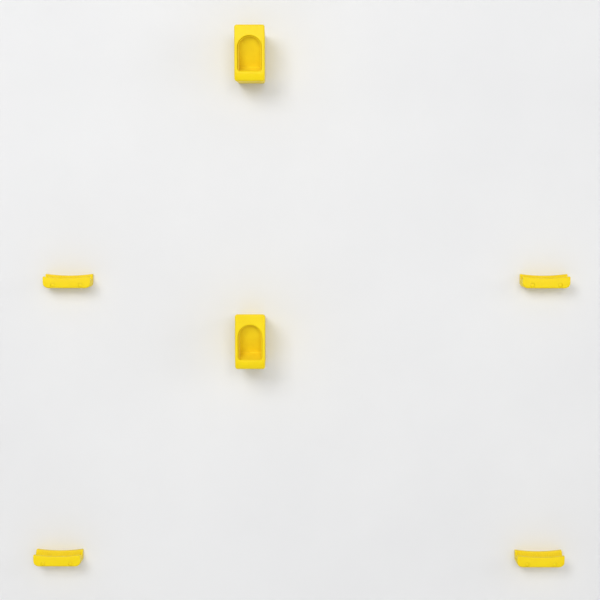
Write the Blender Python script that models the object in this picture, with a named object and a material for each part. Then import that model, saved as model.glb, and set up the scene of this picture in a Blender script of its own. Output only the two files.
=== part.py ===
"""Bicycle wall rack for two road bikes, one above the other.

Each bike hangs by one pedal in a moulded pedal holder and leans its two tyres on two wheel rests.
Every holder and every rest is screwed to the wall by itself. The wall is the plane y = 0. The rack
stands out of it towards -Y, and its screws and wall plugs reach into it towards +Y. The origin is
the middle of the lower holder's back. All lengths are in metres.
"""
import math

import bmesh
import bpy

# Where the pieces stand on the wall, seen from the front with +X to the right.
HOLDER_HEIGHTS = {"lower": 0.0, "upper": 0.591}
REST_DROP = 0.470
REST_PLACES = {
    ("lower", "rear"): -0.413, ("lower", "front"): 0.612,
    ("upper", "rear"): -0.387, ("upper", "front"): 0.618,
}

GAP = 0.0003                      # between pieces that touch
OVERSHOOT = 0.001                 # how far a cutter runs past the face that it opens

# The pedal holder's outside: it narrows from its front face to its back.
HOLDER_DEPTH = 0.100
HOLDER_FRONT = {"half_width": 0.031, "bottom": -0.057, "top": 0.057}
HOLDER_BACK = {"half_width": 0.029, "bottom": -0.053, "top": 0.049}
HOLDER_CORNER = 0.005
HOLDER_EDGE = 0.003
CHIN_TOP = -0.039                 # below this height the front face curves back
CHIN_SET_BACK = 0.007
HOLDER_WALL = 0.0035

# The pocket that takes the pedal. Behind its lip it runs in and up at the bike's lean.
LEAN = math.radians(24.0)
POCKET_HALF_WIDTH = 0.025
POCKET_TOP = 0.035
POCKET_BOTTOM = -0.037
POCKET_CORNER = 0.006
POCKET_EDGE = 0.0015
POCKET_TOP_DEPTH = 0.018
LIP_THICKNESS = 0.006
LIP_HEIGHT = 0.008                # how far the lip stands above the floor behind it
LINER_THICKNESS = 0.0022

# The hollow behind the pocket, its ribs and its screw bosses.
HOLLOW_HALF_WIDTH = 0.0255
HOLLOW_FRONT = -0.092
HOLLOW_ROOF_MARGIN = 0.001        # extra thickness over the pocket's roof at the front
HOLLOW_FLOOR_START = 0.002        # how far behind the lip the hollow under the pocket starts
HOLLOW_CHIN_RUN = 0.003           # and how much further back it meets the chin
RIB_THICKNESS = 0.0026
HOLDER_SCREW_PLACES = {"top": (0.0, 0.018), "left": (-0.014, -0.014), "right": (0.014, -0.014)}
HOLDER_BOSS_RADIUS = 0.009
HOLDER_WELL_RADIUS = 0.006
HOLDER_WELL_FRONT = -0.085
HOLDER_SEAT = -0.008                 # where the washers press on the bosses

# The wheel rest: a cradle whose groove follows a 700c tyre.
TYRE_RADIUS = 0.334
REST_HALF_WIDTH = 0.050
REST_DEPTH = 0.045
REST_BOTTOM = -0.013
REST_END_RUN = 0.012              # the underside curves up to each end over this run
REST_END_RISE = 0.010
REST_EDGE = 0.004
REST_LIP_EDGE = 0.0022
FRONT_LIP_TOP = 0.008             # both lips' heights are at the middle of the rest
BACK_LIP_TOP = 0.012
GROOVE_Y = -0.024
GROOVE_RADIUS = 0.015
GROOVE_BOTTOM = 0.001
PAD_THICKNESS = 0.0022
PAD_HALF_WIDTH = 0.045
PAD_FRONT_ANGLE = math.radians(-48.0)
PAD_BACK_ANGLE = math.radians(64.0)
REST_SCREW_X = {"left": -0.029, "right": 0.029}
REST_SCREW_Z = -0.0062
REST_BORE_RADIUS = 0.0046
REST_SEAT = -0.010
CAVITY_X = (0.0022, 0.0210)
CAVITY_Z = (-0.0105, -0.0015)
CAVITY_FRONT = -0.040

# Fasteners: radius of shank and head, head height, length under the head, plug size.
HOLDER_SCREW = {"shank": 0.0025, "head": 0.00475, "head_height": 0.0034, "length": 0.058}
REST_SCREW = {"shank": 0.00225, "head": 0.0040, "head_height": 0.0028, "length": 0.055}
HOLDER_PLUG = {"radius": 0.0040, "length": 0.042}
REST_PLUG = {"radius": 0.0035, "length": 0.038}
WASHER = {"radius": 0.0054, "thickness": 0.0010}
CAP_DEPTH = 0.005
CAP_DOME = 0.0007
CAP_CROWN = 0.6                   # the flat middle of the cap, as a share of its radius
PLUG_RECESS_MARGIN = 0.0008
PLUG_RECESS_DEPTH = 0.0012
HEAD_CROWN = 0.7                  # the flat top of a screw's head, as a share of its radius
HEAD_SHOULDER = 0.55              # where the head's rim ends, as a share of its height
POINT_LENGTH = 3                  # in shank radii
POINT_RADIUS = 0.0005             # the screw's point ends in this small radius

CORNER_STEPS = 5                  # segments in each rounded corner of the holder
SIDE_POINTS = 6                   # points along each straight side, which the chin's curve needs
ROUND_SIDES = 12
BOSS_SIDES = 24
FACE_SHARES = (0.35, 0.7, 1.0)    # rings on the front face, from its edge to the pocket's mouth
REST_SHARES = (0.18, 0.5, 0.8, 0.88, 0.94, 0.98, 1.0)    # sections, from the middle to an end
PAD_STEPS = 4                     # sections of the tread pad on each side of its middle
SHARP_ANGLE = math.radians(30.0)  # edges sharper than this stay crisp

INWARD = (math.cos(LEAN), math.sin(LEAN))          # the pocket's direction in Y and Z


# ---- materials ----

def make_material(name, colour, roughness, metallic=0.0):
    material = bpy.data.materials.new(name)
    material.use_nodes = True
    shader = material.node_tree.nodes["Principled BSDF"]
    shader.inputs["Base Color"].default_value = (*colour, 1.0)
    shader.inputs["Roughness"].default_value = roughness
    shader.inputs["Metallic"].default_value = metallic
    return material


# ---- meshes ----

def mesh_from_rings(name, rings):
    """A closed mesh through rings of equally many points, with a flat face on each end."""
    built = bmesh.new()
    rows = [[built.verts.new(point) for point in ring] for ring in rings]
    count = len(rows[0])
    for row, following in zip(rows, rows[1:]):
        for i in range(count):
            j = (i + 1) % count
            built.faces.new((row[i], row[j], following[j], following[i]))
    built.faces.new(rows[0])
    built.faces.new(rows[-1])
    bmesh.ops.remove_doubles(built, verts=built.verts, dist=1e-6)
    bmesh.ops.recalc_face_normals(built, faces=built.faces)
    mesh = bpy.data.meshes.new(name)
    built.to_mesh(mesh)
    built.free()
    return mesh


def turned_mesh(name, profile, sides=ROUND_SIDES):
    """A round piece on the Y axis. The profile is a list of (radius, y) from end to end."""
    rings = []
    for radius, y in profile:
        angles = [math.tau * i / sides for i in range(sides)]
        rings.append([(radius * math.cos(a), y, radius * math.sin(a)) for a in angles])
    return mesh_from_rings(name, rings)


def tube_mesh(name, outer, inner, start, end, sides=ROUND_SIDES):
    """A tube along the Y axis, from start to end."""
    built = bmesh.new()
    rows = []
    for radius, y in ((outer, start), (outer, end), (inner, end), (inner, start)):
        angles = [math.tau * i / sides for i in range(sides)]
        rows.append([built.verts.new((radius * math.cos(a), y, radius * math.sin(a))) for a in angles])
    for k, row in enumerate(rows):
        following = rows[(k + 1) % len(rows)]
        for i in range(sides):
            j = (i + 1) % sides
            built.faces.new((row[i], row[j], following[j], following[i]))
    bmesh.ops.recalc_face_normals(built, faces=built.faces)
    mesh = bpy.data.meshes.new(name)
    built.to_mesh(mesh)
    built.free()
    return mesh


def prism_mesh(name, outline, x_low, x_high):
    """An outline in (y, z), drawn out along X."""
    rings = [[(x, y, z) for y, z in outline] for x in (x_low, x_high)]
    return mesh_from_rings(name, rings)


def box_mesh(name, low, high):
    outline = [(low[1], low[2]), (high[1], low[2]), (high[1], high[2]), (low[1], high[2])]
    return prism_mesh(name, outline, low[0], high[0])


def moved(mesh, x=0.0, y=0.0, z=0.0):
    """The same mesh, shifted."""
    for vertex in mesh.vertices:
        vertex.co.x += x
        vertex.co.y += y
        vertex.co.z += z
    return mesh


def carved(mesh, cutters):
    """The mesh with each cutter mesh taken away from it, in order."""
    scene = bpy.context.scene.collection.objects
    base = bpy.data.objects.new("carving", mesh)
    scene.link(base)
    tools = []
    for cutter in cutters:
        tool = bpy.data.objects.new("cutter", cutter)
        tool.display_type = 'WIRE'
        tool.hide_render = True
        scene.link(tool)
        modifier = base.modifiers.new("cut", 'BOOLEAN')
        modifier.operation = 'DIFFERENCE'
        modifier.solver = 'EXACT'
        modifier.object = tool
        tools.append(tool)
    graph = bpy.context.evaluated_depsgraph_get()
    result = bpy.data.meshes.new_from_object(base.evaluated_get(graph))
    result.name = mesh.name
    for helper in [base, *tools]:
        bpy.data.objects.remove(helper)
    return result


# ---- the holder's outlines: lists of (x, z), each with the same number of points ----

def arc(centre_x, centre_z, radius, start, end, count):
    """Points on an arc, with its ends in degrees."""
    points = []
    for i in range(count):
        angle = math.radians(start + (end - start) * i / (count - 1))
        points.append((centre_x + radius * math.cos(angle), centre_z + radius * math.sin(angle)))
    return points


def bottom_corners(half_width, bottom, radius):
    count = CORNER_STEPS + 1
    left = arc(-half_width + radius, bottom + radius, radius, 180, 270, count)
    right = arc(half_width - radius, bottom + radius, radius, 270, 360, count)
    return left + right


def with_sides(half_width, bottom, top):
    """A closed outline from its bottom and its top, with points along both straight sides."""
    low, high = bottom[-1][1], top[0][1]
    heights = [low + (high - low) * i / (SIDE_POINTS + 1) for i in range(1, SIDE_POINTS + 1)]
    right = [(half_width, z) for z in heights]
    left = [(-half_width, z) for z in reversed(heights)]
    return bottom + right + top + left


def rounded_outline(half_width, bottom, top, radius):
    count = CORNER_STEPS + 1
    right = arc(half_width - radius, top - radius, radius, 0, 90, count)
    left = arc(-half_width + radius, top - radius, radius, 90, 180, count)
    return with_sides(half_width, bottom_corners(half_width, bottom, radius), right + left)


def arched_outline(half_width, bottom, top, radius):
    crown = arc(0.0, top - half_width, half_width, 0, 180, 2 * (CORNER_STEPS + 1))
    return with_sides(half_width, bottom_corners(half_width, bottom, radius), crown)


def holder_side_outline(y, inset=0.0):
    """The holder's outside at the depth y, drawn in by inset."""
    share = -y / HOLDER_DEPTH
    half_width, bottom, top = (
        HOLDER_BACK[key] + (HOLDER_FRONT[key] - HOLDER_BACK[key]) * share
        for key in ("half_width", "bottom", "top"))
    return rounded_outline(half_width - inset, bottom + inset, top - inset, HOLDER_CORNER - inset)


def front_face_y(z):
    """The front face is flat, and below the chin's top it curves back."""
    below = max(0.0, CHIN_TOP - z) / (CHIN_TOP - HOLDER_FRONT["bottom"])
    return -HOLDER_DEPTH + CHIN_SET_BACK * below ** 2


def mouth_outline(inset=0.0):
    """The pocket's mouth in the front face, above the lip."""
    return arched_outline(
        POCKET_HALF_WIDTH - inset, POCKET_BOTTOM + inset, POCKET_TOP - inset, POCKET_CORNER - inset)


def inner_outline(inset=0.0):
    """The pocket just behind its lip, where its floor is lower."""
    return arched_outline(
        POCKET_HALF_WIDTH - inset, POCKET_BOTTOM - LIP_HEIGHT + inset, POCKET_TOP - inset,
        POCKET_CORNER - inset)


# The pocket's back wall is the plane y * cos + z * sin = BACK_PLANE, square to the pocket.
BACK_PLANE = (-HOLDER_DEPTH + POCKET_TOP_DEPTH) * INWARD[0] + POCKET_TOP * INWARD[1]
LIP_BACK = -HOLDER_DEPTH + LIP_THICKNESS


def inner_ring(inset, start=LIP_BACK):
    return [(x, start, z) for x, z in inner_outline(inset)]


def back_wall_ring(inset, short=0.0):
    """The inner outline, slid in and up until it meets the back wall, or stops short of it."""
    ring = []
    for x, z in inner_outline(inset):
        run = BACK_PLANE - short - (LIP_BACK * INWARD[0] + z * INWARD[1])
        ring.append((x, LIP_BACK + run * INWARD[0], z + run * INWARD[1]))
    return ring


# ---- the holder ----

def holder_block():
    """The holder with its pocket, before it is hollowed from behind."""
    rings = [[(x, 0.0, z) for x, z in holder_side_outline(0.0)]]
    for turn in (0, 45, 90):
        angle = math.radians(turn)
        inset = HOLDER_EDGE * (1 - math.cos(angle))
        back = HOLDER_EDGE * (1 - math.sin(angle))
        outline = holder_side_outline(-HOLDER_DEPTH, inset)
        rings.append([(x, front_face_y(z) + back, z) for x, z in outline])
    face_edge = holder_side_outline(-HOLDER_DEPTH, HOLDER_EDGE)
    mouth_edge = mouth_outline(-POCKET_EDGE)
    for share in FACE_SHARES:
        ring = []
        for (x0, z0), (x1, z1) in zip(face_edge, mouth_edge):
            x, z = x0 + (x1 - x0) * share, z0 + (z1 - z0) * share
            ring.append((x, front_face_y(z), z))
        rings.append(ring)
    rings.append([(x, -HOLDER_DEPTH + POCKET_EDGE, z) for x, z in mouth_outline()])
    rings.append([(x, LIP_BACK - POCKET_EDGE, z) for x, z in mouth_outline()])
    rings.append(inner_ring(0.0))
    rings.append(back_wall_ring(0.0))
    return mesh_from_rings("holder_shell", rings)


def offset_point(point, along, across):
    """A point in (y, z), moved along the pocket's direction and square to it, upwards."""
    y, z = point
    return (y + along * INWARD[0] - across * INWARD[1], z + along * INWARD[1] + across * INWARD[0])


def hollow_block():
    """The space behind and around the pocket: a prism whose section keeps one wall's distance."""
    ring = back_wall_ring(0.0)
    roof = max(ring, key=lambda point: point[2])
    floor = min(ring, key=lambda point: point[2])
    roof_corner = offset_point(roof[1:], HOLDER_WALL, HOLDER_WALL)
    floor_corner = offset_point(floor[1:], HOLDER_WALL, -HOLDER_WALL)
    floor_front = offset_point((LIP_BACK, POCKET_BOTTOM - LIP_HEIGHT), HOLLOW_FLOOR_START, -HOLDER_WALL)
    slope_top = (HOLDER_FRONT["top"] - HOLDER_BACK["top"]) / HOLDER_DEPTH
    slope_bottom = (HOLDER_FRONT["bottom"] - HOLDER_BACK["bottom"]) / HOLDER_DEPTH
    inner_top = HOLDER_BACK["top"] - HOLDER_WALL
    inner_bottom = HOLDER_BACK["bottom"] + HOLDER_WALL
    roof_front = (HOLLOW_FRONT, POCKET_TOP + HOLDER_WALL + HOLLOW_ROOF_MARGIN)
    chin_back = floor_front[0] + HOLLOW_CHIN_RUN
    outline = [
        (OVERSHOOT, inner_bottom), (OVERSHOOT, inner_top),
        (HOLLOW_FRONT, inner_top - HOLLOW_FRONT * slope_top),
        roof_front, roof_corner, floor_corner, floor_front,
        (chin_back, inner_bottom - chin_back * slope_bottom),
    ]
    return prism_mesh("hollow", outline, -HOLLOW_HALF_WIDTH, HOLLOW_HALF_WIDTH)


def holder_shell_mesh():
    """The hollowed holder, with its cross of ribs, its three bosses and their screw wells."""
    reach = 2 * HOLDER_DEPTH
    kept = [
        box_mesh("rib", (-RIB_THICKNESS / 2, -reach, -reach), (RIB_THICKNESS / 2, reach, reach)),
        box_mesh("rib", (-reach, -reach, -RIB_THICKNESS / 2), (reach, reach, RIB_THICKNESS / 2)),
    ]
    for x, z in HOLDER_SCREW_PLACES.values():
        boss = turned_mesh("boss", [(HOLDER_BOSS_RADIUS, -reach), (HOLDER_BOSS_RADIUS, reach)], BOSS_SIDES)
        kept.append(moved(boss, x, 0.0, z))
    hollow = carved(hollow_block(), kept)
    cutters = [hollow]
    for x, z in HOLDER_SCREW_PLACES.values():
        hole = HOLDER_SCREW["shank"] + GAP
        recess = HOLDER_PLUG["radius"] + PLUG_RECESS_MARGIN
        profile = [
            (HOLDER_WELL_RADIUS, HOLDER_WELL_FRONT), (HOLDER_WELL_RADIUS, HOLDER_SEAT),
            (hole, HOLDER_SEAT), (hole, -PLUG_RECESS_DEPTH), (recess, -PLUG_RECESS_DEPTH),
            (recess, OVERSHOOT),
        ]
        cutters.append(moved(turned_mesh("well", profile), x, 0.0, z))
    return carved(holder_block(), cutters)


def holder_liner_mesh():
    """The soft tray in the pocket. It keeps the pedal off the shell and hides the screws."""
    outer, inner = GAP, GAP + LINER_THICKNESS
    rings = [
        back_wall_ring(outer, GAP), inner_ring(outer, LIP_BACK + GAP),
        inner_ring(inner, LIP_BACK + GAP), back_wall_ring(inner, GAP + LINER_THICKNESS),
    ]
    return mesh_from_rings("holder_liner", rings)


# ---- the wheel rest ----

def tyre_rise(x, radius=TYRE_RADIUS):
    """How far the tyre has curved up at x from its lowest point."""
    return radius - math.sqrt(radius ** 2 - x ** 2)


def rest_section(x):
    """The rest's section in (y, z) at x, from the foot of its back, round its front and groove."""
    beyond = max(0.0, abs(x) - (REST_HALF_WIDTH - REST_END_RUN)) / REST_END_RUN
    bottom = REST_BOTTOM + REST_END_RISE * (1 - math.sqrt(1 - min(1.0, beyond) ** 2))
    rise = tyre_rise(x)
    front_top, back_top = FRONT_LIP_TOP + rise, BACK_LIP_TOP + rise
    groove_z = GROOVE_BOTTOM + GROOVE_RADIUS + rise
    front_angle = math.degrees(math.asin((groove_z - front_top) / GROOVE_RADIUS))
    back_angle = math.degrees(math.asin((groove_z - back_top) / GROOVE_RADIUS))
    points = [(0.0, bottom)]
    points += arc(-REST_DEPTH + REST_EDGE, bottom + REST_EDGE, REST_EDGE, 270, 180, 3)
    points += arc(
        -REST_DEPTH + REST_LIP_EDGE, front_top - REST_LIP_EDGE, REST_LIP_EDGE, 180, 90, 3)
    points += arc(GROOVE_Y, groove_z, GROOVE_RADIUS, 180 + front_angle, 360 - back_angle, 9)
    points.append((0.0, back_top))
    return points


def rest_body_mesh():
    half = REST_HALF_WIDTH
    stations = [half * share for share in REST_SHARES]
    stations = [-x for x in reversed(stations)] + stations
    body = mesh_from_rings("rest_body", [[(x, y, z) for y, z in rest_section(x)] for x in stations])
    cutters = []
    for side in (-1, 1):
        low, high = sorted(side * x for x in CAVITY_X)
        cutters.append(box_mesh(
            "cavity", (low, CAVITY_FRONT, CAVITY_Z[0]), (high, OVERSHOOT, CAVITY_Z[1])))
    hole = REST_SCREW["shank"] + GAP
    recess = REST_PLUG["radius"] + PLUG_RECESS_MARGIN
    for x in REST_SCREW_X.values():
        profile = [
            (REST_BORE_RADIUS, -REST_DEPTH - OVERSHOOT), (REST_BORE_RADIUS, REST_SEAT),
            (hole, REST_SEAT), (hole, -PLUG_RECESS_DEPTH), (recess, -PLUG_RECESS_DEPTH),
            (recess, OVERSHOOT),
        ]
        cutters.append(moved(turned_mesh("bore", profile), x, 0.0, REST_SCREW_Z))
    return carved(body, cutters)


def tread_pad_mesh():
    """The soft strip in the groove, which the tyre stands on."""
    stations = [PAD_HALF_WIDTH * i / PAD_STEPS for i in range(-PAD_STEPS, PAD_STEPS + 1)]
    start, end = (270 + math.degrees(angle) for angle in (PAD_FRONT_ANGLE, PAD_BACK_ANGLE))
    rings = []
    for x in stations:
        centre = GROOVE_BOTTOM + GROOVE_RADIUS + tyre_rise(x)
        outer = arc(GROOVE_Y, centre, GROOVE_RADIUS - GAP, start, end, 8)
        inner = arc(GROOVE_Y, centre, GROOVE_RADIUS - GAP - PAD_THICKNESS, end, start, 8)
        rings.append([(x, y, z) for y, z in outer + inner])
    return mesh_from_rings("tread_pad", rings)


# ---- fasteners, each on the Y axis with the screw's seat at the given y ----

def screw_mesh(name, size, seat):
    """A round-headed screw with a plain shank."""
    head, top, tip = size["head"], seat - size["head_height"], seat + size["length"]
    shoulder = seat - size["head_height"] * HEAD_SHOULDER
    return turned_mesh(name, [
        (head * HEAD_CROWN, top), (head, shoulder), (head, seat), (size["shank"], seat),
        (size["shank"], tip - POINT_LENGTH * size["shank"]), (POINT_RADIUS, tip),
    ])


def plug_mesh(name, plug, screw):
    return tube_mesh(name, plug["radius"], screw["shank"] + GAP, GAP, GAP + plug["length"])


def cap_mesh():
    radius = REST_BORE_RADIUS - GAP
    front = -REST_DEPTH
    return turned_mesh("cap", [
        (radius * CAP_CROWN, front), (radius, front + CAP_DOME), (radius, front + CAP_DEPTH)])


# ---- the whole rack ----

def place(name, mesh, material, parent, x=0.0, z=0.0):
    piece = bpy.data.objects.new(name, mesh)
    piece.location = (x, 0.0, z)
    piece.parent = parent
    if not mesh.materials:
        mesh.materials.append(material)
    mesh.shade_smooth()
    mesh.set_sharp_from_angle(angle=SHARP_ANGLE)
    bpy.context.scene.collection.objects.link(piece)
    return piece


def fixture(name, x, z):
    """An empty at the middle of a holder's or a rest's back, which its pieces hang from."""
    empty = bpy.data.objects.new(name, None)
    empty.location = (x, 0.0, z)
    bpy.context.scene.collection.objects.link(empty)
    return empty


def build_holders(materials):
    head_seat = HOLDER_SEAT - GAP - WASHER["thickness"] - GAP
    shell, liner = holder_shell_mesh(), holder_liner_mesh()
    screw = screw_mesh("holder_screw", HOLDER_SCREW, head_seat)
    plug = plug_mesh("holder_plug", HOLDER_PLUG, HOLDER_SCREW)
    washer = tube_mesh("washer", WASHER["radius"], HOLDER_SCREW["shank"] + GAP,
                       HOLDER_SEAT - GAP - WASHER["thickness"], HOLDER_SEAT - GAP)
    for level, height in HOLDER_HEIGHTS.items():
        parent = fixture(f"{level}_pedal_holder", 0.0, height)
        place(f"{level}_pedal_holder_shell", shell, materials["shell"], parent)
        place(f"{level}_pedal_holder_liner", liner, materials["soft"], parent)
        for spot, (x, z) in HOLDER_SCREW_PLACES.items():
            place(f"{level}_pedal_holder_{spot}_screw", screw, materials["steel"], parent, x, z)
            place(f"{level}_pedal_holder_{spot}_washer", washer, materials["steel"], parent, x, z)
            place(f"{level}_pedal_holder_{spot}_wall_plug", plug, materials["nylon"], parent, x, z)


def build_rests(materials):
    body, pad, cap = rest_body_mesh(), tread_pad_mesh(), cap_mesh()
    screw = screw_mesh("rest_screw", REST_SCREW, REST_SEAT - GAP)
    plug = plug_mesh("rest_plug", REST_PLUG, REST_SCREW)
    for (level, wheel), place_x in REST_PLACES.items():
        name = f"{level}_{wheel}_rest"
        parent = fixture(name, place_x, HOLDER_HEIGHTS[level] - REST_DROP)
        place(f"{name}_body", body, materials["shell"], parent)
        place(f"{name}_tread_pad", pad, materials["soft"], parent)
        for side, x in REST_SCREW_X.items():
            place(f"{name}_{side}_screw", screw, materials["steel"], parent, x, REST_SCREW_Z)
            place(f"{name}_{side}_wall_plug", plug, materials["nylon"], parent, x, REST_SCREW_Z)
            place(f"{name}_{side}_cap", cap, materials["shell"], parent, x, REST_SCREW_Z)


def build():
    for old in list(bpy.data.objects):
        bpy.data.objects.remove(old)
    materials = {
        "shell": make_material("yellow_plastic", (0.93, 0.68, 0.008), 0.42),
        "soft": make_material("yellow_rubber", (0.84, 0.56, 0.012), 0.65),
        "steel": make_material("zinc_plated_steel", (0.62, 0.63, 0.65), 0.32, 1.0),
        "nylon": make_material("grey_nylon", (0.38, 0.39, 0.40), 0.55),
    }
    build_holders(materials)
    build_rests(materials)


build()
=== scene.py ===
"""The looks of the bicycle wall rack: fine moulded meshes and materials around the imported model.

The wall is the plane y = 0, and the rack stands out of it towards -Y. All lengths are in metres.
Each kind of piece is one mesh, made around its own fixture's origin, which is the middle of a
holder's or a rest's back, or the screw's axis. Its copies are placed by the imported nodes' boxes.
"""
import math

import bmesh
import bpy
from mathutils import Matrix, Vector


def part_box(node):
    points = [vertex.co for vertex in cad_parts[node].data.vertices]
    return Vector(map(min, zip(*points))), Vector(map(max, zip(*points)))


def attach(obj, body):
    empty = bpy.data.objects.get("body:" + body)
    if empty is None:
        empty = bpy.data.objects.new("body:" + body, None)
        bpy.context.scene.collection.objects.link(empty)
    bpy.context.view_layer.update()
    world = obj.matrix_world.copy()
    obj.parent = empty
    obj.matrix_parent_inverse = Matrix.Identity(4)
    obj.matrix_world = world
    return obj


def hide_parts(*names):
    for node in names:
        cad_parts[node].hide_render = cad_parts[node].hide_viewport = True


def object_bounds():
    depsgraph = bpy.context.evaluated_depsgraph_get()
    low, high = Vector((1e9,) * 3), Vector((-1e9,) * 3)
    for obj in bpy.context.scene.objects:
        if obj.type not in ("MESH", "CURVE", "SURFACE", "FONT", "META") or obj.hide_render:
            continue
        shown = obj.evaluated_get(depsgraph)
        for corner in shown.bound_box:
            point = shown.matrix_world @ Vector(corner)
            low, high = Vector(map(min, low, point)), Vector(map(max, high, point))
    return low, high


GAP = 0.0003                      # between pieces that touch
OVERSHOOT = 0.001                 # how far a cutter runs past the face that it opens
LEVELS = ("lower", "upper")
WHEELS = ("rear", "front")
HOLDER_SPOTS = ("top", "left", "right")
REST_SPOTS = ("left", "right")

# The holder's outside: it narrows from its front face to its back.
HOLDER_DEPTH = 0.100
HOLDER_FRONT = {"half_width": 0.031, "bottom": -0.057, "top": 0.057}
HOLDER_BACK = {"half_width": 0.029, "bottom": -0.053, "top": 0.049}
HOLDER_CORNER = 0.005             # radius of the corners, seen from the front
HOLDER_EDGE = 0.003               # radius around the front face
CHIN_TOP = -0.039                 # below this height the front face curves back
CHIN_SET_BACK = 0.007
HOLDER_WALL = 0.0035

# The pocket. Behind its lip it runs in and up at the bike's lean.
LEAN = math.radians(24.0)
INWARD = (math.cos(LEAN), math.sin(LEAN))
POCKET_HALF_WIDTH = 0.025
POCKET_TOP = 0.035
POCKET_BOTTOM = -0.037
POCKET_CORNER = 0.006
POCKET_EDGE = 0.0015              # radius around the mouth
LIP_EDGE = 0.0026                 # radius on the lip's top
POCKET_TOP_DEPTH = 0.018          # how deep the pocket is at its arch's top
LIP_THICKNESS = 0.006
LIP_HEIGHT = 0.008
LIP_BACK = -HOLDER_DEPTH + LIP_THICKNESS
# The pocket's back wall is square to INWARD, at this distance along it from the origin.
BACK_PLANE = (-HOLDER_DEPTH + POCKET_TOP_DEPTH) * INWARD[0] + POCKET_TOP * INWARD[1]
LINER_THICKNESS = 0.0022
LINER_FILLET = 0.0035             # radius where the liner's walls meet its back
LINER_LIP = 0.0008                # radius on the liner's front edge
GRIP_PITCH = 0.0042
GRIP_HEIGHT = 0.0007
GRIP_FLATNESS = 0.6               # below 1 makes the grip ribs' tops flatter
GRIP_START = 0.0022               # how far behind the lip the liner's walls start
LINER_ROWS = 72                   # sections along the liner's walls, close enough for its ribs
FLOOR_BAND = 0.0004               # outline points this near the floor's height are on the floor
SMALLEST_RADIUS = 0.0001          # what the fillet leaves of the pocket's corners

# The hollow behind the pocket, its ribs and its screw bosses.
HOLLOW_HALF_WIDTH = 0.0255
HOLLOW_FRONT = -0.092
HOLLOW_ROOF_MARGIN = 0.001        # extra thickness over the pocket's roof at the front
HOLLOW_FLOOR_START = 0.002        # how far behind the lip the hollow under the pocket starts
HOLLOW_CHIN_RUN = 0.003           # and how much further back it meets the chin
RIB_THICKNESS = 0.0026
HOLDER_SCREW_PLACES = {"top": (0.0, 0.018), "left": (-0.014, -0.014), "right": (0.014, -0.014)}
HOLDER_BOSS_RADIUS = 0.009
HOLDER_WELL_RADIUS = 0.006
HOLDER_WELL_FRONT = -0.085
HOLDER_SEAT = -0.008              # where the washers press on the bosses

# The wheel rest: a cradle whose groove follows a 700c tyre.
TYRE_RADIUS = 0.334
REST_HALF_WIDTH = 0.050
REST_DEPTH = 0.045
REST_BOTTOM = -0.013
REST_END_RUN = 0.012              # the underside curves up to each end over this run
REST_END_RISE = 0.010
REST_END_EDGE = 0.0016            # rounding around each end face
REST_EDGE = 0.004                 # radius at the front face's foot
REST_LIP_EDGE = 0.0022            # and at its top
REST_GROOVE_EDGE = 0.0012         # radius on both sides of the groove
GROOVE_EDGE_END = 10              # how far from level that rounding ends, in degrees
FRONT_LIP_TOP = 0.008             # both lips' heights are at the middle of the rest
BACK_LIP_TOP = 0.012
GROOVE_Y = -0.024
GROOVE_RADIUS = 0.015
GROOVE_BOTTOM = 0.001
PAD_THICKNESS = 0.0022
PAD_HALF_WIDTH = 0.045
PAD_ARC = (270.0 - 48.0, 270.0 + 64.0)    # the pad's edges on the groove's circle, in degrees
TREAD_PITCH = 0.005
TREAD_CUT_TOP = 0.0022            # each cut's width at the pad's surface and at its foot
TREAD_CUT_FOOT = 0.0014
TREAD_DEPTH = 0.0010
REST_SCREW_Z = -0.0062
REST_SCREW_PLACES = {"left": (-0.029, REST_SCREW_Z), "right": (0.029, REST_SCREW_Z)}
REST_BORE_RADIUS = 0.0046
REST_SEAT = -0.010
CAVITY_X = (0.0022, 0.0210)
CAVITY_Z = (-0.0105, -0.0015)
CAVITY_FRONT = -0.040

# Fasteners.
HOLDER_SCREW = {"shank": 0.0025, "head": 0.00475, "head_height": 0.0034, "length": 0.058}
REST_SCREW = {"shank": 0.00225, "head": 0.0040, "head_height": 0.0028, "length": 0.055}
HEAD_FLAT = 0.35                  # the flat middle of a screw's head, as a share of its radius
HEAD_DOME = 0.75                  # the height of its dome, as a share of the head's
CROSS_REACH = 0.55                # the cross recess, as shares of the head's radius and height
CROSS_WIDTH = 0.2
CROSS_DEPTH = 0.55
THREAD_PITCH = 0.0021
THREAD_DEPTH = 0.00055
THREAD_SHARPNESS = 3.4            # higher makes the thread's crest narrower
SHANK_RELIEF = 0.35               # the plain shank is this share of the thread's depth thinner
PLAIN_SHANK = 0.010               # the stretch under the head that has no thread
POINT_LENGTH = 3                  # in shank radii
POINT_SHARE = 0.06                # the core's radius at the very point, as a share of its full one
SCREW_SIDES = 20
ROWS_PER_TURN = 7
HOLDER_PLUG = {"radius": 0.0040, "length": 0.042}
REST_PLUG = {"radius": 0.0035, "length": 0.038}
PLUG_SIDES = 24
PLUG_BARB_PITCH = 0.0035
PLUG_BARB_DEPTH = 0.0005
PLUG_BARB_ROWS = 5                # sections in each barb
PLUG_COLLAR = 0.004               # the plain stretch at the plug's mouth
PLUG_TAIL = 0.002                 # and at its far end
PLUG_NOSE = (0.004, 0.0006)       # the far end's taper: its length and how much it takes off
PLUG_SLIT = 0.0009
PLUG_SLIT_RUN = (0.35, 0.93)      # where the slits start and end, as shares of the length
WASHER = {"radius": 0.0054, "thickness": 0.0010}
WASHER_EDGE = 0.00025
CAP_DEPTH = 0.005
CAP_DOME = 0.0007
CAP_MIDDLE = 0.02                 # the cap's innermost ring, as a share of its radius
CAP_SHARES = (0.3, 0.55, 0.75, 0.88, 0.96)    # the rings of its dome
CAP_BEVEL = 0.15                  # how much deeper than its dome the rim starts, as a share
PLUG_RECESS_MARGIN = 0.0008       # room around each plug's mouth
PLUG_RECESS_DEPTH = 0.0012

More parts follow.
